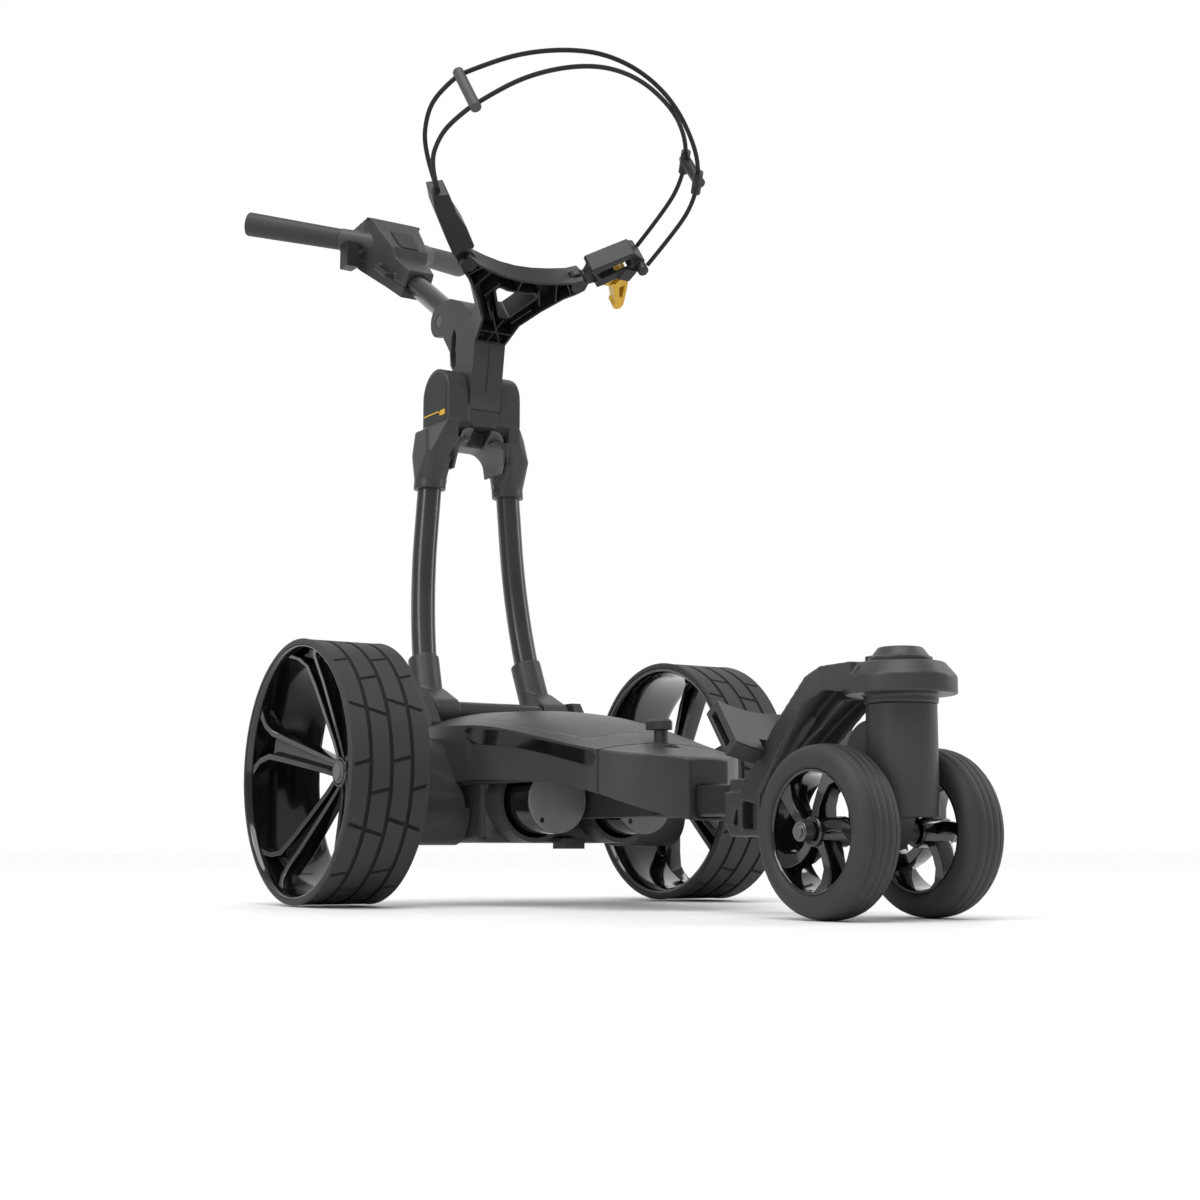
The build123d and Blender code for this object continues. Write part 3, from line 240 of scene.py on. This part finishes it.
def tread_cut(x, angle):
    """How deep the slanted cuts go at a place on the tread, from 0 to 1."""
    rib = sum(x > g for g in GROOVES)
    low = ((0.1985,) + GROOVES)[rib]
    high = (GROOVES + (0.2955,))[rib]
    across = (x - low) / (high - low)
    period = 2 * math.pi / CUTS_ROUND
    pair_shift = 0.03 + (0.034 if rib >= 2 else 0.0)
    long_cut = pair_shift - (rib % 2 + across) * 0.052
    short_cut = pair_shift + across * 0.045 + period * (0.60 if rib % 2 == 0 else 0.38)
    best = 1.0
    for offset in (long_cut, short_cut):
        gap = (angle - offset + period / 2) % period - period / 2
        best = min(best, abs(gap) * 0.150 / GROOVE_HALF)
    return max(0.0, min(1.0, 1.6 - best))


def rear_tyre(side, sign):
    bm = bmesh.new()
    stations = tread_stations()
    rings = []
    for i in range(TYRE_STEPS):
        angle = 2 * math.pi * i / TYRE_STEPS
        ring = [(0.2945, 0.1420), (0.1995, 0.1420), (0.199, 0.1430), (0.1993, 0.1460), (0.2010, 0.1484)]
        for x in stations:
            deep = 1.0 if any(abs(x - g) <= GROOVE_HALF + 1e-6 for g in GROOVES) else tread_cut(x, angle)
            ring.append((x, 0.15 - TREAD_DEPTH * deep))
        ring += [(0.2930, 0.1484), (0.2947, 0.1460), (0.295, 0.1430)]
        rings.append([about_x(sign * x, r, angle, REAR) for x, r in ring])
    loft_rings(bm, rings)
    tyre = add_object("rear_tyre_tread_" + side, bm, "rear_wheel_" + side, "rubber_tread", math.radians(28))
    tyre.data.materials.append(GROOVE_PAINTED_SHADE)
    # faces at the bottom of the grooves get the darker rubber: painted shade in the recesses
    for face in tyre.data.polygons:
        middle = face.center
        far = math.hypot(middle.y - REAR[0], middle.z - REAR[1])
        face.material_index = int(0.1450 < far < 0.1478 and 0.203 < abs(middle.x) < 0.291)
    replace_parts(tyre, "rear_tyre_" + side)


# ------------------------------------------------------------------ rear rims
REAR_SPOKE_ANGLES = [math.radians(17 + 72 * i) for i in range(5)]


def rear_rim(side, sign):
    bm = bmesh.new()
    barrel = [(0.294, 0.1418), (0.2942, 0.1402), (0.2925, 0.1388), (0.286, 0.1376),
              (0.236, 0.1352), (0.206, 0.1352), (0.2005, 0.1385), (0.2, 0.1418)]
    hub = [(0.205, 0.006), (0.205, 0.022), (0.208, 0.024), (0.222, 0.021), (0.238, 0.0185),
           (0.240, 0.0172), (0.240, 0.0148), (0.2385, 0.0134), (0.2275, 0.0134), (0.2275, 0.006)]
    stub_axle = [(0.150, 0.0001), (0.150, 0.0079), (0.193, 0.0079), (0.193, 0.016),
                 (0.206, 0.016), (0.206, 0.0001)]
    lathe(bm, barrel, sign, REAR, 192)
    lathe(bm, hub, sign, REAR, 64)
    lathe(bm, stub_axle, sign, REAR, 48)
    bm.faces.ensure_lookup_table()
    plain = len(bm.faces)
    for centre_angle in REAR_SPOKE_ANGLES:
        for lean in (-1, 1):
            path = [(0.238, 0.017, 24), (0.243, 0.034, 12.5), (0.254, 0.066, 8.3), (0.266, 0.100, 6.9),
                    (0.275, 0.121, 6.5), (0.282, 0.1305, 9.5), (0.287, 0.1375, 14.5)]
            points = [(x, r, centre_angle + math.radians(lean * a)) for x, r, a in path]
            bar(bm, points, [0.007, 0.0075, 0.0078, 0.008, 0.0085, 0.009, 0.012],
                [0.012, 0.016, 0.018, 0.02, 0.02, 0.018, 0.014], sign, REAR)
    ribs = len(bm.faces)
    for centre_angle in REAR_SPOKE_ANGLES:
        web = [(0.232, 0.020, centre_angle), (0.246, 0.066, centre_angle), (0.262, 0.112, centre_angle),
               (0.268, 0.124, centre_angle)]
        bar(bm, web, [0.010, 0.019, 0.025, 0.027], [0.004] * 4, sign, REAR)
    rim = add_object("rear_wheel_rim_" + side, bm, "rear_wheel_" + side, "gloss_black", math.radians(40))
    rim.data.materials.append(RIB_FACE_PAINTED_REFLECTION)
    # outward faces of the spoke bars take the lighter material: painted reflection
    for face in rim.data.polygons:
        face.material_index = int(plain <= face.index < ribs and abs(face.normal.x) > 0.75)
    soften_rim(rim)
    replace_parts(rim, "rear_rim_" + side)


# ------------------------------------------------------------------ front wheels
def front_tyre(side, sign):
    bm = bmesh.new()
    profile = [(0.0445, 0.0555), (0.0795, 0.0555), (0.0820, 0.0562), (0.0842, 0.0590), (0.085, 0.0630),
               (0.0848, 0.0672), (0.0838, 0.0706), (0.0815, 0.0738), (0.0785, 0.0757), (0.0752, 0.0768),
               (0.0743, 0.0762), (0.0734, 0.0772), (0.0700, 0.0777), (0.0665, 0.07792), (0.0656, 0.0772),
               (0.0647, 0.07796), (0.062, 0.078), (0.0593, 0.07796), (0.0584, 0.0772), (0.0575, 0.07792)]
    profile += [(0.054, 0.0777), (0.0506, 0.0772), (0.0497, 0.0762), (0.0488, 0.0768), (0.0455, 0.0757),
                (0.0425, 0.0738), (0.0402, 0.0706), (0.0392, 0.0672), (0.039, 0.0630), (0.0398, 0.0590),
                (0.0420, 0.0562)]
    lathe(bm, profile, sign, FRONT, 192)
    tyre = add_object("front_wheel_tyre_" + side, bm, "front_wheel_" + side, "rubber_tread", math.radians(50))
    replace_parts(tyre, "front_tyre_" + side)


def front_rim(side, sign):
    bm = bmesh.new()
    barrel = [(0.081, 0.0558), (0.0816, 0.0548), (0.0805, 0.0530), (0.074, 0.0520),
              (0.05, 0.0516), (0.0435, 0.0530), (0.043, 0.0558)]
    hub = [(0.041, 0.0051), (0.041, 0.0125), (0.0425, 0.014), (0.0795, 0.014),
           (0.081, 0.0125), (0.081, 0.0105), (0.0795, 0.0102), (0.0795, 0.0051)]
    lathe(bm, barrel, sign, FRONT, 128)
    lathe(bm, hub, sign, FRONT, 64)
    for i in range(5):
        turn = math.radians(20 + 72 * i)
        path = [(0.0775, 0.011, 0), (0.0765, 0.022, 3), (0.0755, 0.034, 9),
                (0.0765, 0.045, 17), (0.0795, 0.0535, 25)]
        points = [(x, r, turn + math.radians(a)) for x, r, a in path]
        bar(bm, points, [0.012, 0.011, 0.012, 0.016, 0.024], [0.022, 0.02, 0.018, 0.018, 0.022], sign, FRONT)
    rim = add_object("front_wheel_rim_" + side, bm, "front_wheel_" + side, "gloss_black", math.radians(40))
    soften_rim(rim)
    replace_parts(rim, "front_rim_" + side)


for side, sign in SIDES.items():
    rear_tyre(side, sign)
    rear_rim(side, sign)
    front_tyre(side, sign)
    front_rim(side, sign)

# ------------------------------------------------------------------ cords
TILT = math.radians(53.5)
CORD_RADIUS = 0.00275
CORD_C = 0.635
PLAIN_ROUTE = [(-157, 548, 3.4), (-187, 586, 15), (-197, 626, 25), (-192, 655, 29), (-178, 679, 30)]
LEVER_ROUTE = [(-175, 682, 30), (-150, 708, 25), (-116, 733, 21), (-72, 752, 17),
               (-26, 760, 12), (28, 752, 5), (85, 726, 0), (129, 689, -17),
               (152, 657, -22), (164, 621, -22), (165, 582, -21), (152.5, 517.5, -20)]
CROSSING_LIFT = {4: 1.5, 5: 3, 6: 3.5, 7: 2}


def cradle_point(x, n, c):
    """Point given across, forward of and along the bag, in metres."""
    return Vector((x, c * math.cos(TILT) - n * math.sin(TILT), c * math.sin(TILT) + n * math.cos(TILT)))


def route_points(route, half):
    points = []
    for index, (x, n, apart) in enumerate(route):
        lift = CROSSING_LIFT.get(index, 0) * half if len(route) > len(PLAIN_ROUTE) else 0
        points.append(cradle_point(x / 1000, (n + lift) / 1000, CORD_C + half * apart / 1000))
    return points


def spline_curve(name, points, radius):
    data = bpy.data.curves.new(name, "CURVE")
    data.dimensions = "3D"
    data.resolution_u = 12
    data.bevel_depth = radius
    data.bevel_resolution = 4
    data.use_fill_caps = True
    spline = data.splines.new("NURBS")
    spline.points.add(len(points) - 1)
    for control, point in zip(spline.points, points):
        control.co = (*point, 1)
    spline.order_u = 3
    spline.use_endpoint_u = True
    obj = bpy.data.objects.new(name, data)
    scene.collection.objects.link(obj)
    bpy.context.view_layer.update()
    return obj


def curve_mesh(name, points, radius):
    curve = spline_curve(name + "_curve", points, radius)
    depsgraph = bpy.context.evaluated_depsgraph_get()
    mesh = bpy.data.meshes.new_from_object(curve.evaluated_get(depsgraph))
    data = curve.data
    bpy.data.objects.remove(curve)
    bpy.data.curves.remove(data)
    return mesh


def cord_tube(name, node, route, half):
    points = route_points(route, half)
    mesh = curve_mesh(name, points, CORD_RADIUS)
    line = curve_mesh(name + "_line", points, 0.0)
    path = [tuple(v.co) for v in line.vertices]
    bpy.data.meshes.remove(line)
    mesh.materials.clear()
    mesh.materials.append(MATERIALS["cord_black"])
    for face in mesh.polygons:
        face.use_smooth = True
    obj = bpy.data.objects.new(name, mesh)
    scene.collection.objects.link(obj)
    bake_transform(obj)
    length = sum((Vector(b) - Vector(a)).length for a, b in zip(path, path[1:]))
    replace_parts(obj, node)
    return length


CORD_LENGTHS = {}
for strand, half in (("a", 1), ("b", -1)):
    CORD_LENGTHS["right_" + strand] = cord_tube(
        "bungee_cord_right_" + strand, "bungee_right_" + strand, PLAIN_ROUTE, half)
    CORD_LENGTHS["left_" + strand] = cord_tube(
        "bungee_cord_left_" + strand, "bungee_left_" + strand, LEVER_ROUTE, half)
print("cord lengths", {k: round(v, 4) for k, v in CORD_LENGTHS.items()})

# ------------------------------------------------------------------ yoke and its liner
PIVOT = (0.133, 0.641)
SLOT_HALF = 0.0233
YOKE_HALF = 0.053


def prism(bm, outline, low, high):
    """Closed (y, z) outline run from one x to another."""
    first = [bm.verts.new((low, y, z)) for y, z in outline]
    second = [bm.verts.new((high, y, z)) for y, z in outline]
    for i in range(len(outline)):
        j = (i + 1) % len(outline)
        bm.faces.new((first[i], first[j], second[j], second[i]))
    bm.faces.new(first[::-1])
    bm.faces.new(second)


def hull(bm, points):
    verts = [bm.verts.new(p) for p in points]
    made = bmesh.ops.convex_hull(bm, input=verts)
    loose = [v for v in made["geom_interior"] if isinstance(v, bmesh.types.BMVert)]
    bmesh.ops.delete(bm, geom=loose, context="VERTS")


def ring(centre, radius, steps=32):
    x, y, z = centre
    turns = [2 * math.pi * i / steps for i in range(steps)]
    return [(x + radius * math.cos(turn), y + radius * math.sin(turn), z) for turn in turns]


def arc(centre, radius, start, end, steps=20):
    """(y, z) points on a circle, angles in degrees."""
    angles = [math.radians(start + (end - start) * i / steps) for i in range(steps + 1)]
    return [(centre[0] + radius * math.cos(a), centre[1] + radius * math.sin(a)) for a in angles]


def melt(obj, voxel, rounds):
    """Joins overlapping shells and rounds every edge, as a moulding has them."""
    remesh = obj.modifiers.new("join", "REMESH")
    remesh.mode = "VOXEL"
    remesh.voxel_size = voxel * 1
    remesh.use_smooth_shade = True
    smooth = obj.modifiers.new("round", "SMOOTH")
    smooth.factor = 0.5
    smooth.iterations = rounds


def leg_x(z):
    """Distance of the leg's centreline from the middle plane, in the straight upper part."""
    return 0.0524 + (0.586 - z) * 0.077


def arch_ring(inset):
    """(x, z) points of the arch seen from the front, legs up and over, drawn in by the inset."""
    half, top, corner = 0.0365 - inset, 0.5815 - inset, 0.020
    over = [(-half, 0.546)]
    over += [(-half + corner - corner * math.cos(a), top - corner + corner * math.sin(a))
             for a in [math.pi / 2 * i / 10 for i in range(11)]]
    return over + [(-x, z) for x, z in reversed(over)]


def rounded_box(sign, x0, x1, y0, y1, corner, z):
    """Level outline with rounded corners."""
    points = []
    for cx, cy, start in ((x1 - corner, y1 - corner, 0), (x0 + corner, y1 - corner, 90),
                          (x0 + corner, y0 + corner, 180), (x1 - corner, y0 + corner, 270)):
        for i in range(7):
            a = math.radians(start + 15 * i)
            points.append((sign * (cx + corner * math.cos(a)), cy + corner * math.sin(a), z))
    return points


bm = bmesh.new()
ear = arc(PIVOT, 0.0355, 0, 180) + [(0.0975, 0.606), (0.119, 0.583), (0.168, 0.583)]
saddle = arc(PIVOT, 0.039, 206, 307) + [(0.1612, 0.5955), (0.168, 0.5895), (0.168, 0.5815)]
saddle_solid = saddle + [(0.120, 0.5815), (0.098, 0.606)]
saddle_slot = saddle + [(0.130, 0.5815), (0.130, 0.6005), (0.098, 0.6005), (0.098, 0.606)]
for sign in SIDES.values():
    prism(bm, ear, sign * SLOT_HALF, sign * YOKE_HALF)
    prism(bm, saddle_solid, sign * 0.0152, sign * (SLOT_HALF + 0.002))
    cheek = rounded_box(sign, 0.0375, leg_x(0.564) + 0.0203, 0.1055, 0.1625, 0.010, 0.564)
    top = [(sign * x, y, z) for x in (0.0375, YOKE_HALF) for y in (0.0985, 0.1665) for z in (0.584, 0.604)]
    hull(bm, cheek + top + rounded_box(sign, 0.0375, leg_x(0.594) + 0.0205, 0.112, 0.160, 0.012, 0.594))
    hull(bm, cheek + ring((sign * leg_x(0.530), 0.1375, 0.530), 0.0203))
    sleeve_foot = ring((sign * leg_x(0.5185), 0.1374, 0.5185), 0.0205)
    hull(bm, sleeve_foot + ring((sign * leg_x(0.57), 0.138, 0.57), 0.0203))
    corner = [(x, z) for x, z in arch_ring(-0.0006) if x >= 0 and z > 0.556]
    corner += [(0.039, 0.556), (0.039, 0.585), (0.0165, 0.585)]
    near = [bm.verts.new((sign * x, 0.1035, z)) for x, z in corner]
    far = [bm.verts.new((sign * x, 0.1655, z)) for x, z in corner]
    for i in range(len(corner)):
        j = (i + 1) % len(corner)
        bm.faces.new((near[i], near[j], far[j], far[i]))
    bm.faces.new(near[::-1])
    bm.faces.new(far)
prism(bm, saddle_slot, -0.0160, 0.0160)
yoke = add_object("yoke_moulded", bm, "frame", "charcoal_plastic")
melt(yoke, 0.0013, 3)
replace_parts(yoke, "yoke")


def liner_reach(z):
    """Front and rear edge of the liner at a height: deep under the saddle, narrow at the sleeves."""
    share = max(0.0, min(1.0, (z - 0.546) / 0.03))
    return 0.115 - 0.0115 * share, 0.158 + 0.006 * share


CATCH_HALF = 0.0130
CATCH_REAR = 0.1295


def liner_strip(bm):
    """Lining of the arch, left open in front over the width of the catch slot."""
    outer, inner = arch_ring(0.0), arch_ring(0.0028)
    half = len(outer) // 2
    for sign in (-1, 1):
        leg = list(zip(outer, inner))[:half]
        leg.append(((-CATCH_HALF, outer[half][1]), (-CATCH_HALF, inner[half][1])))
        sections = []
        for (xo, zo), (xi, zi) in leg:
            near, far = liner_reach(zo)
            lift = max(0.0, min(1.0, (zo - 0.566) / 0.012)) * 0.017
            sections.append([(-sign * xo, near, zo + lift), (-sign * xi, near, zi + lift),
                             (-sign * xi, near + 0.021, zi), (-sign * xi, far, zi), (-sign * xo, far, zo),
                             (-sign * xo, near + 0.021, zo)])
        loft_rings(bm, sections, close_ends=True, wrap=False)
    top, under, far = outer[half][1], inner[half][1], liner_reach(outer[half][1])[1]
    prism(bm, [(CATCH_REAR, top), (CATCH_REAR, under), (far, under), (far, top)], -CATCH_HALF, CATCH_HALF)


bm = bmesh.new()
liner_strip(bm)
liner = add_object("arch_liner_moulded", bm, "frame", "liner_grey", math.radians(40))
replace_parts(liner, "arch_liner")

for side, sign in SIDES.items():
    bm = bmesh.new()
    panel = arc(PIVOT, 0.0305, -8, 188) + [(0.1035, 0.607), (0.112, 0.603), (0.155, 0.603), (0.1625, 0.609)]
    prism(bm, panel, sign * 0.0515, sign * 0.0537)
    panel_object = add_object("ear_panel_" + side, bm, "frame", "black_plastic")
    edge = panel_object.modifiers.new("edges", "BEVEL")
    edge.width = 0.0005
    edge.segments = 2
    bm = bmesh.new()
    stripe = [(0.118, 0.6175), (0.118, 0.6192), (0.162, 0.6192), (0.162, 0.6175)]
    tab = [(0.1055, 0.6125), (0.1055, 0.6192), (0.122, 0.6192), (0.119, 0.6125)]
    for mark in (stripe, tab):
        prism(bm, mark, sign * 0.0530, sign * 0.0541)
    add_object("ear_stripe_" + side, bm, "frame", "lever_yellow")
    bm = bmesh.new()
    middle = Vector((sign * (leg_x(0.532) - 0.0203), 0.1374, 0.532))
    hull(bm, [tuple(middle + Vector((sign * d, 0.0042 * math.cos(a), 0.0042 * math.sin(a))))
              for d in (-0.0012, 0.002) for a in [math.pi * i / 12 for i in range(24)]])
    add_object("sleeve_screw_" + side, bm, "frame", "steel")

# ------------------------------------------------------------------ column seam
bm = bmesh.new()
seam = [(0.0950, 0.645), (0.0856, 0.7078), (0.0968, 0.7448)]
seam_half = 0.0004
seam_rings = []
for y, z in seam:
    front, rear = y - 0.0001, y + 0.001
    seam_rings.append([(-seam_half, front, z), (seam_half, front, z),
                       (seam_half, rear, z), (-seam_half, rear, z)])
loft_rings(bm, seam_rings, close_ends=True, wrap=False)
add_object("column_seam", bm, "column", "gloss_black")

# ------------------------------------------------------------------ rounded copies of the CAD pieces
BEVEL_WIDTH = 0.0008
BEVELS = {
    "column": 0.0022, "handle_base": 0.002, "y_bracket": 0.0005, "lower_cradle": 0.0015,
    "chassis_shell": 0.0012, "chassis_tub": 0.0014, "battery_lid": 0.0005,
    "side_trim_left": 0.0003, "side_trim_right": 0.0003, "grip_left": 0.0, "grip_right": 0.0,
    "caster_housing": 0.002, "catch_post": 0.001, "hinge_brackets": 0.0015, "cord_lever": 0.0012,
}
# nodes whose edges are rounded by a fine remesh: its cell size and how many rounds of smoothing
MELTED = {
    "handle_cover": (0.0012, 9), "front_arm": (0.0013, 7), "leg_socket_left": (0.0012, 6),
    "leg_socket_right": (0.0012, 6), "swivel_lock_knob": (0.0009, 5), "cradle_arm_left": (0.0009, 3),
    "cradle_arm_right": (0.0009, 4), "nose_cover": (0.0013, 6),
}
DONE = {n for o in scene.objects for n in list(o.get("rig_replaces", []))}
for node_name, source in frame["nodes"].items():
    if node_name in DONE:
        continue
    slot_name = SLOT_OF[node_name]
    bm = bmesh.new()
    bm.from_mesh(source.data)
    bmesh.ops.remove_doubles(bm, verts=bm.verts, dist=2e-6)
    bmesh.ops.dissolve_limit(bm, angle_limit=math.radians(0.6), verts=bm.verts, edges=bm.edges)
    obj = add_object(node_name + "_finished", bm, BODY_OF[node_name], slot_name, math.radians(32))
    width = BEVELS.get(node_name, BEVEL_WIDTH)
    if node_name in MELTED:
        melt(obj, *MELTED[node_name])
    elif width:
        bevel = obj.modifiers.new("edges", "BEVEL")
        bevel.width = width
        bevel.segments = 3
        bevel.limit_method = "ANGLE"
        bevel.angle_limit = math.radians(34)
        bevel.harden_normals = True
    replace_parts(obj, node_name)

# ------------------------------------------------------------------ floor, backdrop, light, camera
PALE = surface("mat_floor", (0.86, 0.86, 0.87), 0.55, grain=60, grain_depth=0.02, tone=0.01)
floor_mesh = bpy.data.meshes.new("floor")
reach = 60.0
floor_corners = [(-reach, -reach, 0), (reach, -reach, 0), (reach, reach, 0), (-reach, reach, 0)]
floor_mesh.from_pydata(floor_corners, [], [(0, 1, 2, 3)])
floor_mesh.materials.append(PALE)
floor = bpy.data.objects.new("floor", floor_mesh)
scene.collection.objects.link(floor)

world = bpy.data.worlds.new("studio")
scene.world = world
world.use_nodes = True
sky = world.node_tree
where = node_at(sky, "ShaderNodeTexCoord", -900, 0)
ahead = sky.nodes.new("ShaderNodeVectorMath")
ahead.operation = "DOT_PRODUCT"
ahead.inputs[1].default_value = (0.53915, 0.83086, 0.13779)
sky.links.new(where.outputs["Generated"], ahead.inputs[0])
backdrop = sky.nodes.new("ShaderNodeValToRGB")
backdrop.color_ramp.elements[0].position = 0.35
backdrop.color_ramp.elements[0].color = (0.42, 0.42, 0.43, 1)
backdrop.color_ramp.elements[1].position = 0.8
backdrop.color_ramp.elements[1].color = (1, 1, 1, 1)
sky.links.new(ahead.outputs["Value"], backdrop.inputs["Fac"])
sky.links.new(backdrop.outputs["Color"], sky.nodes["Background"].inputs["Color"])
sky.nodes["Background"].inputs["Strength"].default_value = 1.0
sun_data = bpy.data.lights.new("sun", "SUN")
sun_data.energy = 2.0
sun_data.angle = math.radians(50)
sun = bpy.data.objects.new("sun", sun_data)
sun.rotation_euler = (math.radians(14), math.radians(-16), 0)
scene.collection.objects.link(sun)


def soft_light(name, place, target, size, power):
    data = bpy.data.lights.new(name, "AREA")
    data.shape = "RECTANGLE"
    data.size, data.size_y = size
    data.energy = power
    light = bpy.data.objects.new(name, data)
    light.location = place
    light.rotation_mode = "QUATERNION"
    light.rotation_quaternion = (Vector(target) - Vector(place)).to_track_quat("-Z", "Y")
    scene.collection.objects.link(light)


soft_light("key", (-2.6, -0.6, 1.9), (0, -0.1, 0.4), (0.7, 2.0), 26)
soft_light("rim", (2.4, -1.0, 1.6), (0, -0.2, 0.4), (0.6, 2.0), 20)

camera_data = bpy.data.cameras.new("camera")
camera_data.lens = 54.52
camera_data.sensor_width = 36
camera_data.clip_start = 0.05
camera_data.clip_end = 200
camera = bpy.data.objects.new("camera", camera_data)
scene.collection.objects.link(camera)
right = Vector((0.83886, -0.54435, 0))
up = Vector((-0.07501, -0.11559, 0.99046))
back = Vector((-0.53915, -0.83086, -0.13779))
placed = Matrix((right, up, back)).transposed().to_4x4()
placed.translation = (-1.11607, -1.89387, 0.0594)
camera.matrix_world = placed
scene.camera = camera
scene.view_settings.view_transform = "Standard"
